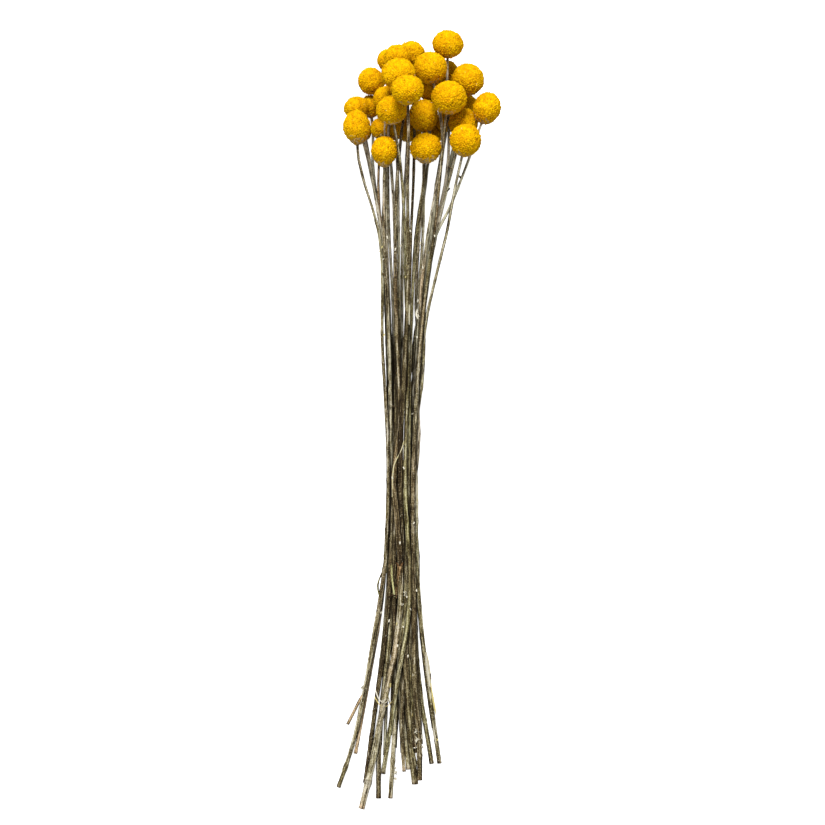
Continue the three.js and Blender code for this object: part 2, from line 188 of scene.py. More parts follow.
def floret_finish():
    """Gold on the raised florets, with painted shade, burnt orange, in the hollows between them, bare straw
    towards the stem, and painted shade where the other heads crowd round.
    """
    finish = Finish("golden florets", Specular_IOR_Level=0.03)
    deep_gold, bright_gold = (0.65, 0.295, 0.001), (0.84, 0.495, 0.001)
    # The hollow colours are painted shade in the recesses between florets.
    dark_hollow_shade, light_hollow_shade = (0.21, 0.072, 0.001), (0.53, 0.24, 0.001)
    brown_straw, pale_straw = (0.30, 0.15, 0.02), (0.80, 0.60, 0.30)
    # Painted shade where the other heads crowd round a place.
    crowd_shade_tint = (0.50, 0.35, 0.22)

    here = finish.here()
    tone = finish.mark("tone")
    raised = finish.mark("raised")
    bare = finish.mark("bare")
    inner = finish.mark("inner")
    patch = finish.noise(here, 110.0, 2.0)
    speck = finish.noise(here, 1700.0, 3.0)
    gold = finish.blend((tone * 0.8 + patch * 1.4 - 0.55).limited(), deep_gold, bright_gold)
    hollow = finish.blend(tone, dark_hollow_shade, light_hollow_shade)
    # Painted shade: the hollows between florets are darker than their raised middles and rims.
    hollow_shaded = finish.blend((raised + (speck - 0.5) * 1.5).step(0.1, 0.8), hollow, gold)
    fleck = finish.noise(here, 420.0, 2.0)
    straw = finish.blend((speck * 1.6 + tone * 0.6 - 0.6).limited(), brown_straw, pale_straw)
    bared = (bare + (tone - 0.5) * 0.5 + (fleck - 0.5) * 2.4).step(0.62, 0.85)
    florets = finish.blend(bared, hollow_shaded, straw)
    # Painted shade from the crowding heads multiplies the colour.
    finish.colour(finish.blend(inner.limited(), florets, crowd_shade_tint, "MULTIPLY"))
    finish.roughness(0.78 + (1.0 - raised) * 0.15)
    finish.bump(speck, 0.6, 0.0005)
    return finish


def stem_finish():
    """Fibrous grey-brown skin, from near black to cream, with grooves, worn streaks and leaf scars, and
    painted shade on its sides, its underside and between stems.
    """
    finish = Finish("dry stem", Specular_IOR_Level=0.05)
    tints = [
        (0.0, (0.022, 0.015, 0.007)),
        (0.2, (0.070, 0.050, 0.022)),
        (0.4, (0.155, 0.122, 0.060)),
        (0.6, (0.268, 0.223, 0.120)),
        (0.8, (0.400, 0.350, 0.235)),
        (1.0, (0.580, 0.530, 0.400)),
    ]
    to_olive, to_russet = (0.93, 1.0, 0.66), (1.10, 0.84, 0.66)
    groove = (0.024, 0.016, 0.008)
    bleached = (0.62, 0.57, 0.45)
    leaf_scar = (0.030, 0.018, 0.009)
    # Painted shade, near black, on the sides and underside of stems and between them.
    painted_shade_colour = (0.012, 0.008, 0.004)

    grain = finish.grain("grain")
    tint = finish.mark("tint")
    worn = finish.mark("worn")
    hue = finish.mark("hue")
    scar = finish.mark("scar")
    ridge = finish.mark("ridge")
    inner = finish.mark("inner")
    fibre = finish.noise(grain, 850.0, 4.0, 0.75)
    streak = finish.noise(grain, 1500.0, 3.0, 0.65)
    band = finish.noise(grain, 210.0, 3.0, 0.6)
    speck = finish.noise(finish.here(), 950.0, 3.0, 0.7)
    shade = tint + 0.04 + (fibre - 0.5) * 2.6 + (speck - 0.5) * 1.9 + (band - 0.5) * 0.6 + ridge * 0.16
    skin = finish.ramp(shade.limited(), tints)
    olive = finish.blend(hue.limited(), skin, to_olive, "MULTIPLY")
    russet = finish.blend((-hue).limited(), olive, to_russet, "MULTIPLY")
    grooved = finish.blend((streak + ridge * 0.05).step(0.38, 0.49), groove, russet)
    peeled = (worn + (fibre - 0.5) * 2.6 + (streak - 0.5) * 0.9 + ridge * 0.08).step(0.68, 0.98)
    wool = (worn * 0.5 + (speck - 0.5) * 3.0).step(0.60, 0.85)
    pale = finish.blend((peeled + wool).limited(), grooved, bleached)
    scarred = finish.blend((scar * 1.3 - (speck - 0.4)).limited(), pale, leaf_scar)
    # Painted shade where a place lies on a stem's side or underside or deep between stems.
    shade_share = (inner - (fibre - 0.5) * 0.6).step(0.12, 0.85)
    finish.colour(finish.blend(shade_share, scarred, painted_shade_colour))
    finish.roughness(0.7 + band * 0.25)
    finish.bump(fibre * 0.9 + streak * 0.5, 0.9, 0.0007)
    return finish


def leaf_finish():
    """What is left of leaves and their wool: brown, olive, straw, yellow and cream."""
    finish = Finish("dry leaf", Specular_IOR_Level=0.1)
    tints = [
        (0.0, (0.030, 0.016, 0.008)),
        (0.2, (0.150, 0.075, 0.030)),
        (0.35, (0.190, 0.165, 0.060)),
        (0.5, (0.430, 0.330, 0.130)),
        (0.72, (0.560, 0.480, 0.200)),
        (0.86, (0.450, 0.420, 0.340)),
        (1.0, (0.660, 0.620, 0.500)),
    ]
    tint = finish.mark("tint")
    speck = finish.noise(finish.here(), 1300.0, 3.0)
    finish.colour(finish.ramp((tint + (speck - 0.5) * 0.5).limited(), tints))
    finish.roughness(0.75 + speck * 0.2)
    finish.bump(speck, 0.4, 0.0003)
    return finish


def pith_finish():
    """The cut end of a stem."""
    finish = Finish("cut end", Specular_IOR_Level=0.1)
    brown_pith, pale_pith = (0.30, 0.22, 0.13), (0.74, 0.64, 0.46)
    speck = finish.noise(finish.here(), 1800.0, 3.0)
    finish.colour(finish.blend(speck, brown_pith, pale_pith))
    finish.roughness(0.8 + speck * 0.15)
    finish.bump(speck, 0.5, 0.0003)
    return finish


# ---- meshes ------------------------------------------------------------------------------------


class Shape:
    """Gathers the points and faces of one piece, with the numbers that its finish reads at each point."""

    def __init__(self, *marks):
        self.values = {name: [] for name in marks}
        self.places = []
        self.faces = []
        self.finishes = []
        self.count = 0

    def add(self, places, faces, finish=0, **values):
        places = np.asarray(places, float).reshape(-1, 3)
        self.places.append(places)
        self.faces += [[corner + self.count for corner in face] for face in faces]
        self.finishes += [finish] * len(faces)
        for name, gathered in self.values.items():
            value = np.asarray(values.get(name, 0.0), float)
            wanted = (len(places), 3) if name == "grain" else (len(places),)
            gathered.append(np.broadcast_to(value, wanted))
        self.count += len(places)

    def piece(self, name, node, slot, finishes):
        mesh = bpy.data.meshes.new(name)
        mesh.from_pydata(np.concatenate(self.places) * MM, [], self.faces)
        for mark, gathered in self.values.items():
            values = np.concatenate(gathered)
            is_place = values.ndim == 2
            made = mesh.attributes.new(mark, "FLOAT_VECTOR" if is_place else "FLOAT", "POINT")
            made.data.foreach_set("vector" if is_place else "value", values.ravel().astype(np.float32))
        for finish in finishes:
            mesh.materials.append(finish.material)
        mesh.polygons.foreach_set("material_index", self.finishes)
        mesh.polygons.foreach_set("use_smooth", [True] * len(mesh.polygons))
        mesh.update()
        made = bpy.data.objects.new(name, mesh)
        bpy.context.scene.collection.objects.link(made)
        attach(made, "root")
        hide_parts(node)


def unit(way):
    """A direction, or each one of many, at length 1."""
    way = np.asarray(way, float)
    length = np.linalg.norm(way) if way.ndim == 1 else np.linalg.norm(way, axis=-1)[..., None]
    return way / length


def hump(distance, width):
    """1 at no distance, falling away smoothly on both sides."""
    return np.exp(-((distance / width) ** 2))


def any_angle():
    """A random angle in radians, from nothing to nearly a full turn."""
    return chance.uniform(0, 6)


def smoothed(values, reach):
    """The values drawn along a line, with their kinks eased over a number of neighbours."""
    kernel = np.hanning(2 * reach + 3)[1:-1]
    kernel /= kernel.sum()
    first = 2 * values[0] - values[reach:0:-1]
    last = 2 * values[-1] - values[-2 : -reach - 2 : -1]
    return np.convolve(np.concatenate([first, values, last]), kernel, "valid")


def wavy(length, step, size):
    """A smooth random line of values, of about the given size, that turns every step or so."""
    knots = chance.normal(0, size, int(length / step) + 4)
    at = np.linspace(0, len(knots) - 1.001, max(int(length), 2))
    low = at.astype(int)
    share = at - low
    share = share * share * (3 - 2 * share)
    return knots[low] * (1 - share) + knots[low + 1] * share


def bent(points, radii, steps):
    """More places along a rough course, with its corners eased, and the radius at each."""
    points = np.asarray(points, float)
    at = np.linspace(0, len(points) - 1, steps)
    course = np.column_stack([np.interp(at, np.arange(len(points)), points[:, k]) for k in range(3)])
    if steps > 8:
        course = np.column_stack([smoothed(course[:, k], 2) for k in range(3)])
    return course, np.interp(at, np.arange(len(radii)), radii)


def curl(start, way, out, length, lift, steps=5):
    """A course that leaves start along way and bends away towards out."""
    t = np.linspace(0, 1, steps)[:, None]
    return np.asarray(start) + np.asarray(way) * length * t + np.asarray(out) * lift * t**1.8


def along(course, y):
    """The place of a stem's middle at a height along Y."""
    return np.array([np.interp(y, course[:, 1], course[:, 0]), y, np.interp(y, course[:, 1], course[:, 2])])


# ---- where the plain solids lie ----------------------------------------------------------------

COURSE_STEP = 2.5
CUT_STEP = 4.0  # between the heights where a plain stem is cut across to find its middle
FOOT_GAP = 2.0  # from a stem's foot to the first of those cuts
TOP_GAP = 1.2  # the least from the last of them to the stem's upper end
RING_GAP = 1.6  # the rings of corners of a plain stem's upper end lie further apart than this
NECK = 1.2  # how far a stem runs on into its flower
FULLER = 1.03  # how much wider a round stem is than its six-sided solid

# Where a shoot leaves a stem, so that the stem's own middle can't be read off its solid: for each stem
# the low and the high end of such a stretch along Y.
SHOOT_SPANS = {18: [(-248, -214), (-147, -119)], 25: [(-240, -186)]}

# How far a plain head reaches from its middle, in shares of half its length: up, and down to its stem.
CROWN = 0.983
SEAT = 0.9


def solid(node):
    """The corners and edges of a plain solid, in millimetres."""
    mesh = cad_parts[node].data
    places = np.empty(len(mesh.vertices) * 3, np.float32)
    mesh.vertices.foreach_get("co", places)
    edges = np.empty(len(mesh.edges) * 2, np.int32)
    mesh.edges.foreach_get("vertices", edges)
    return places.reshape(-1, 3).astype(float) / MM, edges.reshape(-1, 2)


def stem_course(number):
    """The middle of a stem and its radius, every COURSE_STEP along Y, from its cut end to its flower."""
    places, edges = solid(f"stem_{number:02d}")
    starts, ends = places[edges[:, 0]], places[edges[:, 1]]
    low, high = places[:, 1].min(), places[:, 1].max()
    stations = []
    for y in np.arange(low + FOOT_GAP, high - TOP_GAP, CUT_STEP):
        if any(first < y < last for first, last in SHOOT_SPANS.get(number, [])):
            continue
        crossing = (starts[:, 1] - y) * (ends[:, 1] - y) < 0
        start, end = starts[crossing], ends[crossing]
        cut = start + ((y - start[:, 1]) / (end[:, 1] - start[:, 1]))[:, None] * (end - start)
        lowest, highest = cut.min(0), cut.max(0)
        middle = (lowest + highest) / 2
        stations.append((y, middle[0], middle[2], (highest[2] - lowest[2]) / 2))
    stations = np.array(stations)
    for end, near, further in ((low, 0, 1), (high, -1, -2)):
        share = (end - stations[near, 0]) / (stations[further, 0] - stations[near, 0])
        extra = stations[near] + share * (stations[further] - stations[near])
        stations = np.vstack([extra, stations] if near == 0 else [stations, extra])
    y = np.linspace(low, high, int((high - low) / COURSE_STEP) + 1)
    x, z, radius = (smoothed(np.interp(y, stations[:, 0], stations[:, k]), 3) for k in (1, 2, 3))
    return np.column_stack([x, y, z]), radius


def stem_top(number):
    """The middle of a stem's upper end and the way it points there."""
    places, _ = solid(f"stem_{number:02d}")
    places = np.unique(places.round(3), axis=0)
    places = places[np.argsort(-places[:, 1])]
    rings = np.split(places, np.nonzero(-np.diff(places[:, 1]) > RING_GAP)[0] + 1)
    top, below = (ring.mean(0) for ring in rings[:2])
    return top, unit(top - below)


def laid_course(number):
    """A stem's course right up to its flower, and its radius."""
    course, radius = stem_course(number)
    top, axis = stem_top(number)
    return np.vstack([course[:-1], top, top + axis * NECK]), np.append(radius, radius[-1]) * FULLER


def head_size(number):
    """A head's middle, the way it faces, and half its width and its length."""
    places, _ = solid(f"head_{number:02d}")
    top, axis = stem_top(number)
    rise = (places - top) @ axis
    length = 2 * (rise.max() - rise.min()) / (CROWN + SEAT)
    middle = top + axis * (rise.min() + SEAT * length / 2)
    across = np.linalg.norm(places - middle - np.outer((places - middle) @ axis, axis), axis=1)
    return middle, axis, np.array([across.max(), length / 2])


laid = {number: laid_course(number) for number in STEMS}
heads = {number: head_size(number) for number in STEMS}


# ---- flowers -----------------------------------------------------------------------------------

FLORET_AREA = 3.0  # how many square millimetres of a head each floret has
UNEVENNESS = 0.8  # how far florets stand from an even spiral
RIM = 0.47  # how far each floret's rim reaches from the hollow between three of them to its middle
HOLLOWS = (0.45, 1.15)  # the least and the greatest depth between florets
LUMPS = ((0.014, 2.0), (0.011, 3.5), (0.009, 6.0))  # how high they rise on a head, and how close they lie
PLAIN_CONE = 0.06
CONES = {18: 0.35, 26: 0.3, 27: 0.15, 16: 0.12}  # heads that narrow more towards their stems
PLAIN_BARE = 0.35
# Heads that have lost more florets round their stems: how much of the lower half is bare.
BARE = {
    18: 1.0, 26: 0.8, 27: 0.9, 16: 0.8, 25: 0.6, 13: 0.5,
    19: 0.9, 20: 0.9, 23: 0.7, 15: 0.7, 30: 0.8, 14: 0.5,
}
# A head paints shade on a place wholly with its middle half of this above the place, and not at all with
# its middle half of this below.
SHADING_SPAN = 24
CROWD_SHADE = 0.65  # how far painted shade darkens a place that the other heads crowd wholly


def spiral(count, jitter):
    """Directions all round a head, nearly even and one for each floret."""
    i = np.arange(count) + 0.5
    y = 1 - 2 * i / count
    ring = np.sqrt(1 - y * y)
    angle = i * math.pi * (3 - math.sqrt(5)) + any_angle()
    ways = np.column_stack([ring * np.cos(angle), y, ring * np.sin(angle)])
    ways += chance.normal(0, jitter / math.sqrt(count), ways.shape)
    return unit(ways)


def hull(ways):
    """The triangles that join neighbouring directions over a sphere, seen from outside."""
    made = bmesh.new()
    for i, way in enumerate(ways):
        made.verts.new(way).index = i
    bmesh.ops.convex_hull(made, input=made.verts)
    bmesh.ops.triangulate(made, faces=made.faces)
    made.verts.index_update()
    faces = np.array([[corner.index for corner in face.verts] for face in made.faces])
    made.free()
    a, b, c = (ways[faces[:, k]] for k in range(3))
    inward = np.einsum("ij,ij->i", np.cross(b - a, c - a), a) < 0
    faces[inward] = faces[inward][:, ::-1]
    return faces


def shares_each(value, faces):
    """A floret's own value at its middle and rim, and the mean of three florets in the hollow between."""
    return np.concatenate([value, value[faces].ravel(), value[faces].mean(1)])


def floret_faces(faces, count):
    """Triangles from each floret's middle out to its rim, and quads from there down into the hollows."""
    triangle_at = {}
    rim_at = {}
    for f, (a, b, c) in enumerate(faces):
        triangle_at[a, b] = triangle_at[b, c] = triangle_at[c, a] = f
        for k, floret in enumerate((a, b, c)):
            rim_at[f, floret] = count + 3 * f + k
    hollow_start = count + 3 * len(faces)
    triangles, quads = [], []
    for (i, j), f in triangle_at.items():
        g = triangle_at[j, i]
        near, far = rim_at[g, i], rim_at[f, i]
        triangles.append((i, near, far))
        quads.append((near, hollow_start + g, hollow_start + f, far))
    return triangles + quads


def lumpy(directions):
    """How much further than its smooth shape a head reaches in each direction."""
    return sum(
        amount * np.sin(directions @ (chance.normal(0, 1, 3) * turn) + any_angle())
        for amount, turn in LUMPS
    )


def shade_from_heads(number, places, outward):
    """Painted shade on places on a head, from how closely the other heads crowd round them, from 0 to 1."""
    open_share = np.ones(len(places))
    for other, (middle, _, half) in heads.items():
        if other != number:
            towards = middle - places
            distance = np.linalg.norm(towards, axis=1)
            facing = np.maximum((outward * towards).sum(1) / distance, 0)
            above = np.clip(0.5 + (middle[2] - places[:, 2]) / SHADING_SPAN, 0, 1)
            open_share *= 1 - np.clip(facing * (half.mean() / distance) ** 2 * above, 0, 1)
    return 1 - open_share


def flower(number, finish):
    """A head of florets, each with a raised middle, a rim and hollows round it."""
    middle, axis, half = heads[number]
    side = unit(np.cross(axis, UP))
    head_axes = np.array([side, axis, np.cross(side, axis)])

    count = int(math.pi * 4 * half[0] * (half[0] + half[1]) / 2 / FLORET_AREA)
    ways = spiral(count, UNEVENNESS)
    faces = hull(ways)
    swell = 1 + 0.02 * chance.normal(0, 1, count)
    hollow_ways = unit(ways[faces].mean(1))
    rim_ways = unit(ways[faces] * RIM + hollow_ways[:, None, :] * (1 - RIM))
    directions = np.concatenate([ways, rim_ways.reshape(-1, 3), hollow_ways])
    sunk = chance.uniform(*HOLLOWS, len(faces)) / half.mean()
    shares = np.concatenate([swell - 0.012, swell[faces].ravel() - 0.01, 0.995 - sunk])

    below = np.maximum(-directions[:, 1], 0)
    narrowing = 1 - CONES.get(number, PLAIN_CONE) * below**1.5
    local = directions * np.array([half[0], half[1], half[0]]) * shares[:, None]
    local[:, 0] *= narrowing
    local[:, 2] *= narrowing
    local *= (1 + lumpy(directions))[:, None]
    places = middle + local @ head_axes
    places[:, 2] = np.maximum(places[:, 2], LOWEST)

    tone = shares_each(chance.uniform(0, 1, count), faces)
    depth = sunk * half.mean() / HOLLOWS[1]
    # raised sets the painted shade of the hollows: darker the deeper a hollow, lighter where a floret
    # stands higher.
    raised = np.concatenate([np.full(count, 0.8), np.ones(3 * len(faces)), 1 - depth])
    raised *= np.clip(1 + (shares_each(swell, faces) - 1) * 12, 0.4, 1.2)
    bare = np.clip((-directions[:, 1] - 0.15 - 0.5 * (1 - BARE.get(number, PLAIN_BARE))) / 0.7, 0, 1)
    # Painted shade where the other heads crowd round this one.
    inner = shade_from_heads(number, places, directions @ head_axes) * CROWD_SHADE

    shape = Shape("tone", "raised", "bare", "inner")
    shape.add(places, floret_faces(faces, count), tone=tone, raised=raised, bare=bare, inner=inner)
    shape.piece(f"flower_{number:02d}", f"head_{number:02d}", "florets", [finish])


# ---- stems -------------------------------------------------------------------------------------

BARK, PITH, LEAF = 0, 1, 2  # which of a stem's finishes a face has
SIDES = 14
RIB_LENGTH = 22  # of a rib of one tint, in steps along the stem
TWIST = 0.004  # the most that the ribs turn in a millimetre, in radians
FIBRE_STRETCH = 15  # how much longer than wide the fibres are
FLANK_SHADE = 0.35  # how much darker painted shade makes the sides and the underside
LOWER_SHARE = 0.2  # how much of the painted shade between stems shows on their lower halves
GAP_REACH = 1.7  # about how far beside a stem it paints shade on its neighbour
COVER_RISE = 2.2  # a neighbour that stands this far up above a place paints full shade on it
FAR_RISE = 24  # a neighbour that lies this far above a place paints no more shade on it
FAR_FADE = 12  # over how much of that rise its effect fades out

# For each stem how light it is in the fan, at the waist and at its foot, then its hue from -1, russet,
# to 1, olive, then how much of its skin is worn pale.
LOOKS = [
    (0.95, 0.55, 0.50, 0.0, 0.3), (0.38, 0.35, 0.56, 0.0, 0.3), (0.94, 1.05, 0.45, 0.2, 0.3),
    (0.90, 0.12, 0.55, 0.0, 0.3), (0.77, 0.82, 0.50, 0.0, 0.3), (0.60, 0.55, 0.45, 0.3, 0.3),
    (1.25, 0.50, 0.45, 0.3, 0.3), (0.55, 0.40, 0.50, 0.0, 0.3), (0.24, 0.32, 0.64, -0.1, 0.4),
    (0.38, 0.10, 0.31, 0.0, 0.3), (0.30, 0.47, 0.22, 0.0, 0.3), (0.77, 0.32, 0.14, -0.1, 0.2),
    (0.50, 0.42, 0.70, 0.5, 0.3), (0.74, 1.20, 0.40, 0.1, 0.3), (1.10, 0.40, 0.35, 0.1, 0.3),
    (1.18, 0.55, 0.47, 0.3, 0.3), (0.55, 0.45, 0.40, 0.0, 0.3), (0.72, 0.28, 0.57, 0.1, 0.4),
    (0.80, 0.45, 0.98, 0.0, 0.3), (0.75, 0.55, 0.58, -0.9, 0.3), (0.78, 0.67, 0.30, 0.1, 0.3),
    (1.20, 0.45, 0.40, 0.2, 0.3), (0.70, 1.30, 0.55, 0.1, 0.4), (0.88, 1.35, 0.50, 0.2, 0.3),
    (0.65, 0.62, 0.45, 0.2, 0.4), (0.54, 0.75, 0.38, 0.1, 0.3), (0.44, 0.33, 0.66, 0.4, 0.3),
    (0.80, 0.40, 0.35, 0.0, 0.3), (0.55, 0.40, 0.40, 0.1, 0.3), (0.92, 0.50, 0.45, 0.2, 0.3),
]
# The heights along Y where these hold: the foot's, the waist's lower and upper end, and the fan's.
LOOK_HEIGHTS = (-205, -110, 50, 120)

# Joints that stand out, where a side twig or a leaf has broken off: stem, then heights along Y.
JOINTS = {18: [-278.7, -121.0], 10: [-275.0], 9: [-291.5], 25: [-81.9], 12: [-151.5], 23: [-150.0]}
SCAR_GAPS = (16, 40)  # the least and the greatest distance from one leaf scar to the next
MOST_SCARS = 40
REMNANT_CHANCE = 0.55  # that a scar still carries the torn foot of its leaf


def tube(shape, course, radii, sides, finish=BARK, lobes=0.06, **marks):
    """A ridged stalk along a course, open at both ends. It gives back its first and last rings."""
    way = unit(np.gradient(course, axis=0))
    side = unit(np.cross(way, UP))
    up = np.cross(side, way)
    travelled = np.concatenate([[0], np.cumsum(np.linalg.norm(np.diff(course, axis=0), axis=1))])
    angles = np.arange(sides) * 2 * math.pi / sides + any_angle()
    around = angles[None, :] + travelled[:, None] * chance.uniform(-TWIST, TWIST)
    crest = 2.0 * (np.arange(sides) % 2) - 1
    reach = radii[:, None] * (1 + lobes * crest + chance.normal(0, lobes * 0.35, around.shape))
    rows = np.linspace(0, len(course) // RIB_LENGTH + 1, len(course))
    drawn = chance.normal(0, 1, (len(course) // RIB_LENGTH + 2, sides))
    ribs = np.stack([np.interp(rows, np.arange(len(drawn)), rib) for rib in drawn.T], axis=1)
    places = (
        course[:, None, :]
        + (np.cos(around) * reach)[:, :, None] * side[:, None, :]
        + (np.sin(around) * reach)[:, :, None] * up[:, None, :]
    )
    places[:, :, 2] = np.maximum(places[:, :, 2], LOWEST)
    fibres = np.stack(
        [
            np.cos(around) * radii[:, None],
            np.broadcast_to(travelled[:, None] / FIBRE_STRETCH, around.shape),
            np.sin(around) * radii[:, None],
        ],
        axis=2,
    )
    grain = (fibres + chance.uniform(0, 50, 3)) * MM
    faces = []
    for k in range(len(course) - 1):
        for s in range(sides):
            a, b = k * sides + s, k * sides + (s + 1) % sides
            faces.append((a, b, b + sides, a + sides))
    start = shape.count
    spread = {name: np.repeat(np.broadcast_to(value, len(course)), sides) for name, value in marks.items()}
    spread["ridge"] = (ribs + 0.5 * crest).ravel()
    # Painted shade on the sides and underside of the stalk.
    spread["inner"] = FLANK_SHADE * np.clip(1 - np.sin(around) / 0.6, 0, 1).ravel()
    shape.add(places.reshape(-1, 3), faces, finish, grain=grain.reshape(-1, 3), **spread)
    last = start + (len(course) - 1) * sides
    return range(start, start + sides), range(last, last + sides)


def close(shape, ring, middle, finish, **marks):
    """Shuts the end of a stalk with a fan of faces round its middle."""
    at = shape.count
    shape.add([middle], [], grain=np.array(middle) * MM, **marks)
    ring = list(ring)
    for a, b in zip(ring, ring[1:] + ring[:1]):
        shape.faces.append([a, b, at])
        shape.finishes.append(finish)


def strip(shape, course, widths, across, tint):
    """A thin strip of dry leaf along a course, folded a little along its middle."""
    course = np.asarray(course, float)
    across = unit(across)
    way = np.gradient(course, axis=0)
    out = np.cross(way, across)
    out /= np.maximum(np.linalg.norm(out, axis=1), 1e-6)[:, None]
    half = np.asarray(widths, float)[:, None] / 2
    rows = np.stack([course - across * half, course + out * half * 0.5, course + across * half], axis=1)
    rows[:, :, 2] = np.maximum(rows[:, :, 2], LOWEST)
    faces = []
    for k in range(len(course) - 1):
        for c in range(2):
            a = 3 * k + c
            faces.append((a, a + 1, a + 4, a + 3))
    shape.add(rows.reshape(-1, 3), faces, LEAF, tint=tint)


def remnant(shape, course, radius, y, side):
    """The torn foot of a leaf that stays at a joint of the stem."""
    root = along(course, y)
    way = unit(along(course, y + 4) - root)
    flat = unit(np.cross(way, UP))
    out = flat * math.cos(side) + np.cross(flat, way) * math.sin(side)
    length = chance.uniform(1.5, 4.5)
    thick = np.interp(y, course[:, 1], radius)
    line = curl(root + out * thick * 0.9, way, out, length, chance.uniform(0.2, 1.1))
    widths = np.array([1.3, 1.2, 1.0, 0.7, 0.2]) * chance.uniform(0.6, 1.1)
    strip(shape, line, widths, np.cross(way, out), chance.choice([0.1, 0.3, 0.5, 0.8, 0.95]))


def gap_shade(number, places):
    """How far inside the bunch places on a stem lie, for the painted shade between stems: 1 deep between
    its neighbours, 0 in the open.
    """
    sides = np.zeros((2, len(places)))
    for other, (course, radius) in laid.items():
        if other == number:
            continue
        x, z = (np.interp(places[:, 1], course[:, 1], course[:, k], np.nan, np.nan) for k in (0, 2))
        away = x - places[:, 0]
        thick = radius.mean()
        near = hump(np.maximum(np.abs(away) - thick, 0), GAP_REACH)
        above = np.clip((z + 0.9 * thick - places[:, 2]) / COVER_RISE, 0, 1)
        not_far_above = np.clip((FAR_RISE - z + places[:, 2]) / FAR_FADE, 0, 1)
        cover = np.nan_to_num(near * (above * not_far_above))
        for side, beside in enumerate((away < 0, away >= 0)):
            sides[side] = np.maximum(sides[side], cover * beside)
    deep = 0.7 * sides.max(0) + 0.3 * sides.min(0)
    fan_starts, fan_opens = 60, 140
    return deep * np.interp(places[:, 1], (fan_starts, fan_opens), (1.0, 0.6))


def stem_shape(number):
    """A stem with the scars and torn feet of its leaves, and its course and radius."""
    course, radius = laid[number]
    run = np.arange(len(course)) * COURSE_STEP

    def line(step, size):
        drawn = wavy(run[-1], step, size)[: int(run[-1])]
        return np.interp(run, np.arange(len(drawn)), drawn)

    fan, waist, low, hue, worn = LOOKS[number - 1]
    light = np.interp(course[:, 1], LOOK_HEIGHTS, (low, waist, waist, fan))
    scars = np.cumsum(chance.uniform(*SCAR_GAPS, MOST_SCARS))
    scars = scars[scars < run[-1] - 12]
    swelling = 1 + line(30, 0.03)
    scar = np.zeros(len(run))
    for place in scars:
        swelling += chance.uniform(0.04, 0.2) * hump(run - place, 1.8)
        scar += chance.uniform(0.0, 0.6) * hump(run - place + 1.5, 1.4)
    for y in JOINTS.get(number, []):
        place = np.interp(y, course[:, 1], run)
        swelling += 0.3 * hump(run - place, 2.6)
        scar += 0.5 * hump(run - place - 1.5, 1.6)
    foot = np.clip(1 - run / 5, 0, 1)
    neck = np.clip(1 - (run[-1] - run) / 60, 0, 1)
    swelling += 0.06 * foot
    tint = light + line(70, 0.06) + line(8, 0.07) + 0.15 * foot
    worn = np.clip(worn + line(40, 0.10) + 0.12 * np.clip(1 - run / 90, 0, 1) + 0.05 * neck, 0, 1)
    hue = hue + line(50, 0.2) - foot * 0.8 - neck * 0.35

    shape = Shape("tint", "hue", "worn", "scar", "ridge", "grain", "inner")
    first, last = tube(shape, course, radius * swelling, SIDES, tint=tint, hue=hue, worn=worn, scar=scar)
    flank_shading = shape.values["inner"][-1]
    facing_up = np.clip(2 * (1 - flank_shading / FLANK_SHADE), 0, 1)
    # Painted shade between stems, mostly on their upper halves, on top of the painted shade of the flanks.
    dark = gap_shade(number, shape.places[-1]) * (LOWER_SHARE + (1 - LOWER_SHARE) * facing_up)
    shape.values["inner"][-1] = np.maximum(flank_shading, dark)
    close(shape, list(first)[::-1], course[0] + np.array([0, 0.3, 0]), PITH)
    close(shape, last, course[-1], BARK, tint=0.4)
    for place in scars:
        if chance.uniform() < REMNANT_CHANCE:
            y = np.interp(place, run, course[:, 1])
            remnant(shape, course, radius, y, chance.uniform(-0.4, math.pi + 0.4))
    return shape, course, radius


golden = floret_finish()
stem_finishes = [stem_finish(), pith_finish(), leaf_finish()]
stems = {}
for number in STEMS:
    flower(number, golden)
    stems[number] = stem_shape(number)


# ---- what grows on the stems and lies loose on them --------------------------------------------

FORKED = 18  # the stem with the side twig and the loop of leaf
TOUCHING = 0.8  # how far beside a stem's side a place still counts as on it
NEARBY = 3.0  # the same for loose pieces
PEEL_LIFT = 0.35
WOOL_TINTS = [0.84, 0.98, 1.05, 1.1]
HAIR_WIDTHS = [0.5, 0.7, 0.6, 0.1]

# Stubs of side twigs: x, y, then which way they lean.
STUBS = [
    (23.4, 200.5, -1), (23.0, 182.6, 1), (35.2, 193.0, -1), (-28.6, 114.5, -1), (-21.6, 8.5, -1),
]

# Locks of wool: x, y, their size and how many hairs they have.
WOOL = [
    (-30.2, -154.6, 1.6, 16), (-10.6, -139.0, 1.4, 18), (-13.5, -148.0, 1.2, 14), (-27.5, -224.5, 1.8, 26),
    (-1.6, -249.0, 2.0, 34), (-1.2, -256.0, 2.0, 30), (-2.0, -262.0, 1.6, 20), (-18.6, -283.0, 1.8, 34),
    (-18.8, -288.0, 1.6, 22), (-4.5, 4.5, 1.2, 12), (2.6, -254.0, 1.8, 26), (3.0, -262.0, 1.5, 16),
    (-18.4, -279.0, 1.5, 20),
]

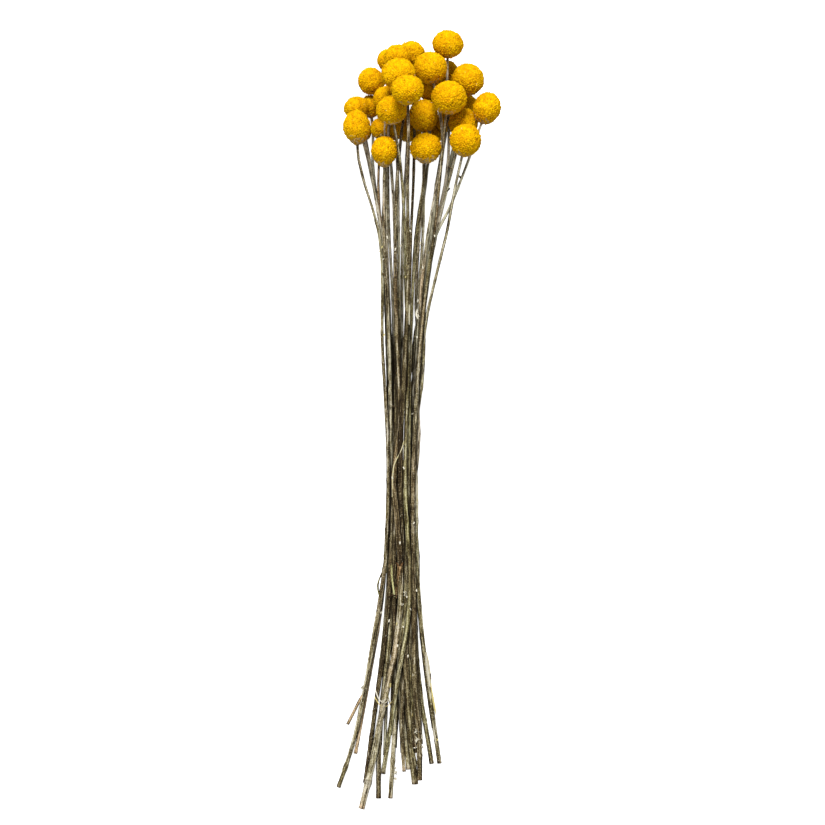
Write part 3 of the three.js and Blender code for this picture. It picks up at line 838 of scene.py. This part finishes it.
# Loose flakes: x, y and their tint.
FLAKES = [
    (-0.5, 96.0, 0.95), (-0.5, 84.0, 0.95), (-16.8, -180.0, 1.00), (-23.4, -160.0, 1.05),
    (15.2, -255.7, 0.70), (-17.3, -162.5, 0.70), (-12.5, -165.2, 1.05), (-7.0, -150.8, 1.00),
    (-9.6, -141.1, 0.95), (-8.5, -188.3, 0.95), (-28.9, -164.3, 1.05), (-1.9, -135.8, 1.05),
    (-15.0, -97.7, 1.05), (-21.4, -45.9, 0.95), (-12.3, -37.9, 0.95), (-3.5, -82.0, 0.95),
    (-1.5, 66.7, 1.05), (-27.5, 68.7, 0.70), (-29.0, 138.9, 0.70), (-14.2, 139.7, 0.95),
    (-10.2, 114.9, 0.70), (3.0, 122.9, 1.00), (-18.5, 137.3, 1.00), (-31.9, 157.7, 1.05),
    (-7.0, 151.7, 1.05), (12.6, 147.7, 1.05), (1.5, 142.0, 1.05), (-25.5, 147.0, 1.05),
    (-28.0, 129.0, 0.95),
]


def top_stem(x, y, wide=TOUCHING):
    """The number of the stem that lies on top at a place, and the height of its upper side there."""
    best = (None, -1.0)
    for number, (_, course, radius) in stems.items():
        if not course[0, 1] < y < course[-1, 1]:
            continue
        middle = along(course, y)
        thick = np.interp(y, course[:, 1], radius)
        reach = abs(middle[0] - x)
        if reach < thick + wide:
            height = middle[2] + math.sqrt(max(thick**2 - reach**2, 0))
            if height > best[1]:
                best = (number, height)
    return best


def on_top(places, wide=TOUCHING):
    """A course along the top of the bunch, from places given by their x, their y and their rise."""
    return [[x, y, top_stem(x, y, wide)[1] + rise] for x, y, rise in places]


def peel(points, widths, tint, across=(1, 0.1, 0.3)):
    """A strip of leaf along the top of the bunch."""
    carrier, _ = top_stem(*points[0][:2], NEARBY)
    line = [[x, y, z + PEEL_LIFT] for x, y, z in on_top(points, NEARBY)]
    way, wide = bent(line, widths, 4 * len(points))
    strip(stems[carrier][0], way, wide, across, tint)


def wool(x, y, size, count):
    """A lock of short woolly hairs."""
    carrier, height = top_stem(x, y, NEARBY)
    middle = np.array([x, y, height])
    for _ in range(count):
        way = unit(chance.normal(0, 1, 3))
        out = chance.normal(0, 1, 3)
        start = middle + chance.normal(0, 0.3, 3) * size
        length = chance.uniform(0.5, 1.2) * size
        course = curl(start, way, unit(out), length, length * 0.5, len(HAIR_WIDTHS))
        strip(stems[carrier][0], course, HAIR_WIDTHS, np.cross(way, out), chance.choice(WOOL_TINTS))


def flake(x, y, tint):
    """A loose flake of skin or leaf."""
    aside, down = chance.uniform(-0.8, 0.8), chance.uniform(1.4, 2.4)
    peel([(x, y, 0.2), (x + aside, y - down, 0.5)], [1.2, 0.8], tint)


def side_twig():
    """The twig that leaves a stem near its foot, with its cut end."""
    shape, course, _ = stems[FORKED]
    reach = np.array([[0, 0, 0], [-4, -7, 0.2], [-13.8, -26.5, 0]])
    way, thick = bent(along(course, -217.74) + reach, [0.8, 1.3, 1.3], 14)
    _, last = tube(shape, way, thick, 10, tint=0.40, hue=-0.7, worn=0.3)
    close(shape, last, way[-1], PITH)


def leaf_loop():
    """The rolled strip of leaf that stands off the twig's stem in a loop, with its dark torn tip."""
    shape, course, _ = stems[FORKED]
    reach = np.array([[-1.2, 1, 0.5], [-3.6, -3.6, 0.6], [-5, -9, 0.8], [-4.4, -14, 0.8], [-2.8, -20, 0.6]])
    steps = 16
    loop, _ = bent(along(course, -123.74) + reach, [1], steps)
    thick = np.interp(np.arange(steps), [0, 3, 8, 12, 15], [0.9, 0.6, 0.8, 0.7, 0.4])
    tube(shape, loop, thick, 8, tint=0.3, hue=1.0)
    strip(shape, loop[:4] + (0, 0, 0.9), [0.8, 2.4, 2.2, 0.8], (0.6, 1, 0.2), -0.3)


def broken_shoot():
    """A shoot on top of the bunch, with its end torn open, and the green arm beside it."""
    shape = stems[top_stem(-18.4, -140.3)[0]][0]
    places = [(-18.4, -143, -0.9), (-18.0, -138, 0.2), (-16.6, -128, 0.7), (-15.2, -117, 1.0)]
    way, thick = bent(on_top(places), [1.0, 1.25, 1.2, 1.7], 14)
    _, last = tube(shape, way, thick, 12, lobes=0.12, tint=0.42, hue=-1.0, worn=0.1)
    close(shape, last, way[-1] - (way[-1] - way[-2]) * 1.5, BARK, tint=0.0, scar=0.8)
    for side in (-1, 1):
        start = way[-1] + np.array([side * 1.3, 0, 0.6])
        lip = curl(start, (0.1 * side, 1, 0), (side, 0.2, 0.4), 2.6, 1.0)
        strip(shape, lip, [2.0, 1.9, 1.5, 1.0, 0.3], (1, 0, 0.6 * side), 0.15)
    arm = on_top([(-21.8, -116, 0.1), (-21.4, -124, 0.1), (-20.6, -133, 0.1), (-19.3, -142, 0.1)])
    way, thick = bent(arm, [0.6, 0.9, 0.9, 0.6], 14)
    tube(shape, way, thick, 8, tint=0.62, hue=1.0, worn=0.2)


def stub(x, y, lean):
    """What is left of a side twig."""
    shape, course, _ = stems[top_stem(x, y, NEARBY)[0]]
    reach = np.array([[0, 0, 0.2], [lean * 1.6, 1.4, 0.5], [lean * 2.9, 2.6, 0.7]])
    way, thick = bent(along(course, y) + reach, [0.9, 0.8, 0.6], 6)
    _, last = tube(shape, way, thick, 7, tint=0.1, hue=-0.3)
    close(shape, last, way[-1], BARK, tint=0.1)


def frayed_sleeve():
    """The papery sheath of a leaf, split into four strips, with its yellow end hanging free."""
    for aside, tint in ((-1.3, 0.86), (-0.4, 0.95), (0.5, 0.82), (1.3, 0.88)):
        course = [
            (6.0 + aside * 0.3, -186, 0.0),
            (6.9 + aside, -194, 0.1),
            (8.0 + aside, -203, 0.2),
            (9.4 + aside * 0.6, -214, 0.3),
        ]
        peel(course, [0.3, 0.8, 1.0, 0.6], tint)
    yellow_end = [(9.2, -211, 0.3), (10.9, -221, 0.5), (12.6, -230, 0.8), (14.2, -237, 1.0)]
    peel(yellow_end, [1.2, 1.9, 1.9, 0.5], 0.68)


def crossing_leaves():
    """Narrow dry leaves that lie across the feet of the stems."""
    pale = [(-34.6, -217, 0.2), (-32.0, -224, 1.2), (-27.6, -227.5, 1.0), (-23.5, -225, 0.4)]
    straw = [(-35.4, -222, 0.2), (-31.2, -229, 0.9), (-26.8, -230.6, 0.8), (-21.5, -226, 0.5)]
    peel(pale, [1.0, 1.0, 0.9, 0.6], 0.9)
    peel(straw, [0.9, 0.8, 0.9, 0.6], 0.6)
    peel([(-26.0, -218, 0.4), (-24.4, -223, 1.0), (-22.6, -229, 0.3)], [1.0, 1.2, 0.5], 0.35)


def torn_skin():
    """Scraps of peeled skin, and the dark spots where others came off."""
    torn_spot = -0.2
    peel([(-22.7, -211.0, 0.3), (-22.9, -214.5, 0.3)], [1.6, 1.0], 0.66)
    peel([(-19.2, -240, 0.3), (-18.8, -246, 0.3)], [0.8, 0.6], 0.95)
    peel([(9.4, -203.5, 0.6), (9.8, -208, 0.6)], [1.2, 0.9], torn_spot)
    collar = [(-24.0, -141.6, 0.1), (-20.6, -140.6, 0.3), (-17.0, -141.2, 0.1)]
    peel(collar, [1.0, 1.1, 0.9], torn_spot, (0, 1, 0.1))
    peel([(-2.9, -150.5, 0.3), (-2.2, -154.0, 0.3)], [1.6, 1.2], torn_spot)


def pale_threads():
    """Two scraps where the fan starts, and a thread that winds down over the waist."""
    hooked = [(0.4, 92.5, 0.3), (-1.0, 88.0, 0.5), (-2.2, 84.0, 0.4), (-0.6, 80.5, 0.2)]
    peel(hooked, [0.9, 1.8, 1.9, 0.7], 0.92)
    peel([(-7.2, 92.0, 0.2), (-7.8, 84.0, 0.4), (-7.6, 76.0, 0.2)], [0.9, 1.5, 0.8], 0.84)
    winding = [
        (-11.8, -17, 0.1), (-13.6, -24, 0.3), (-17.4, -31, 0.3),
        (-20.2, -37, 0.3), (-21.0, -48, 0.2), (-21.2, -62, 0.1),
    ]
    peel(winding, [0.5, 0.9, 1.0, 1.0, 0.9, 0.5], 0.79)


side_twig()
leaf_loop()
wool(-44.4, -215.0, 2.4, 40)
broken_shoot()
for place in STUBS:
    stub(*place)
frayed_sleeve()
crossing_leaves()
torn_skin()
pale_threads()
for lock in WOOL:
    wool(*lock)
for scrap in FLAKES:
    flake(*scrap)

for number, (shape, _, _) in stems.items():
    shape.piece(f"stalk_{number:02d}", f"stem_{number:02d}", "stem", stem_finishes)


# ---- studio, in metres -------------------------------------------------------------------------

WHITE = (1.0, 1.0, 1.0, 1.0)
PALE = (0.93, 0.93, 0.93, 1.0)
FLOOR_REACH = 200.0
FLOOR_DROP = 0.0002  # how far the floor lies below the bunch
EYE = (-0.00496, 0.00566, 24.0)
SENSOR = 36.0
VIEW_SPAN = 0.660  # how much the longer side of the view takes in at VIEW_HEIGHT
VIEW_HEIGHT = 0.03


def lay_floor():
    """A pale floor with no edge in sight, which throws no light back on the bunch."""
    finish = Finish(
        "pale floor",
        Base_Color=PALE,
        Roughness=0.9,
        Specular_IOR_Level=0.0,
        Emission_Color=WHITE,
        Emission_Strength=0.85,
    )
    ways = [(-1, -1), (1, -1), (1, 1), (-1, 1)]
    corners = [(x * FLOOR_REACH, y * FLOOR_REACH, -FLOOR_DROP) for x, y in ways]
    mesh = bpy.data.meshes.new("floor")
    mesh.from_pydata(corners, [], [(0, 1, 2, 3)])
    mesh.materials.append(finish.material)
    floor = bpy.data.objects.new("floor", mesh)
    bpy.context.scene.collection.objects.link(floor)
    floor.visible_diffuse = False
    floor.visible_glossy = False


def light_sky():
    """A white sky, weaker near the horizon and below it."""
    world = bpy.data.worlds.new("studio")
    world.use_nodes = True
    sky = Tree(world.node_tree)
    direction = sky.node("ShaderNodeTexCoord").outputs["Generated"]
    upwards = sky.node("ShaderNodeSeparateXYZ", {}, {"Vector": direction}).outputs["Z"]
    strength = sky.node(
        "ShaderNodeMapRange",
        {},
        {"Value": upwards, "From Min": -0.4, "From Max": 0.2, "To Min": 0.22, "To Max": 0.55},
    )
    background = sky.tree.nodes["Background"]
    sky.feed(background.inputs["Strength"], strength.outputs["Result"])
    sky.feed(background.inputs["Color"], WHITE)
    bpy.context.scene.world = world


def hang_lamp():
    """A large soft lamp, high up beyond the flowers."""
    key = bpy.data.lights.new("key", "SUN")
    key.energy = 4.5
    key.angle = math.radians(22)
    lamp = bpy.data.objects.new("key", key)
    lamp.rotation_euler = (math.radians(-42), math.radians(-8), 0)
    bpy.context.scene.collection.objects.link(lamp)


def set_camera():
    """A long lens high overhead that looks straight down."""
    camera = bpy.data.cameras.new("camera")
    camera.sensor_width = SENSOR
    camera.lens = SENSOR * (EYE[2] - VIEW_HEIGHT) / VIEW_SPAN
    camera.clip_start = 1.0
    camera.clip_end = 400.0
    eye = bpy.data.objects.new("camera", camera)
    eye.location = EYE
    bpy.context.scene.collection.objects.link(eye)
    bpy.context.scene.camera = eye


bpy.context.scene.view_settings.view_transform = "Standard"
bpy.context.scene.view_settings.look = "None"
lay_floor()
light_sky()
hang_lamp()
set_camera()
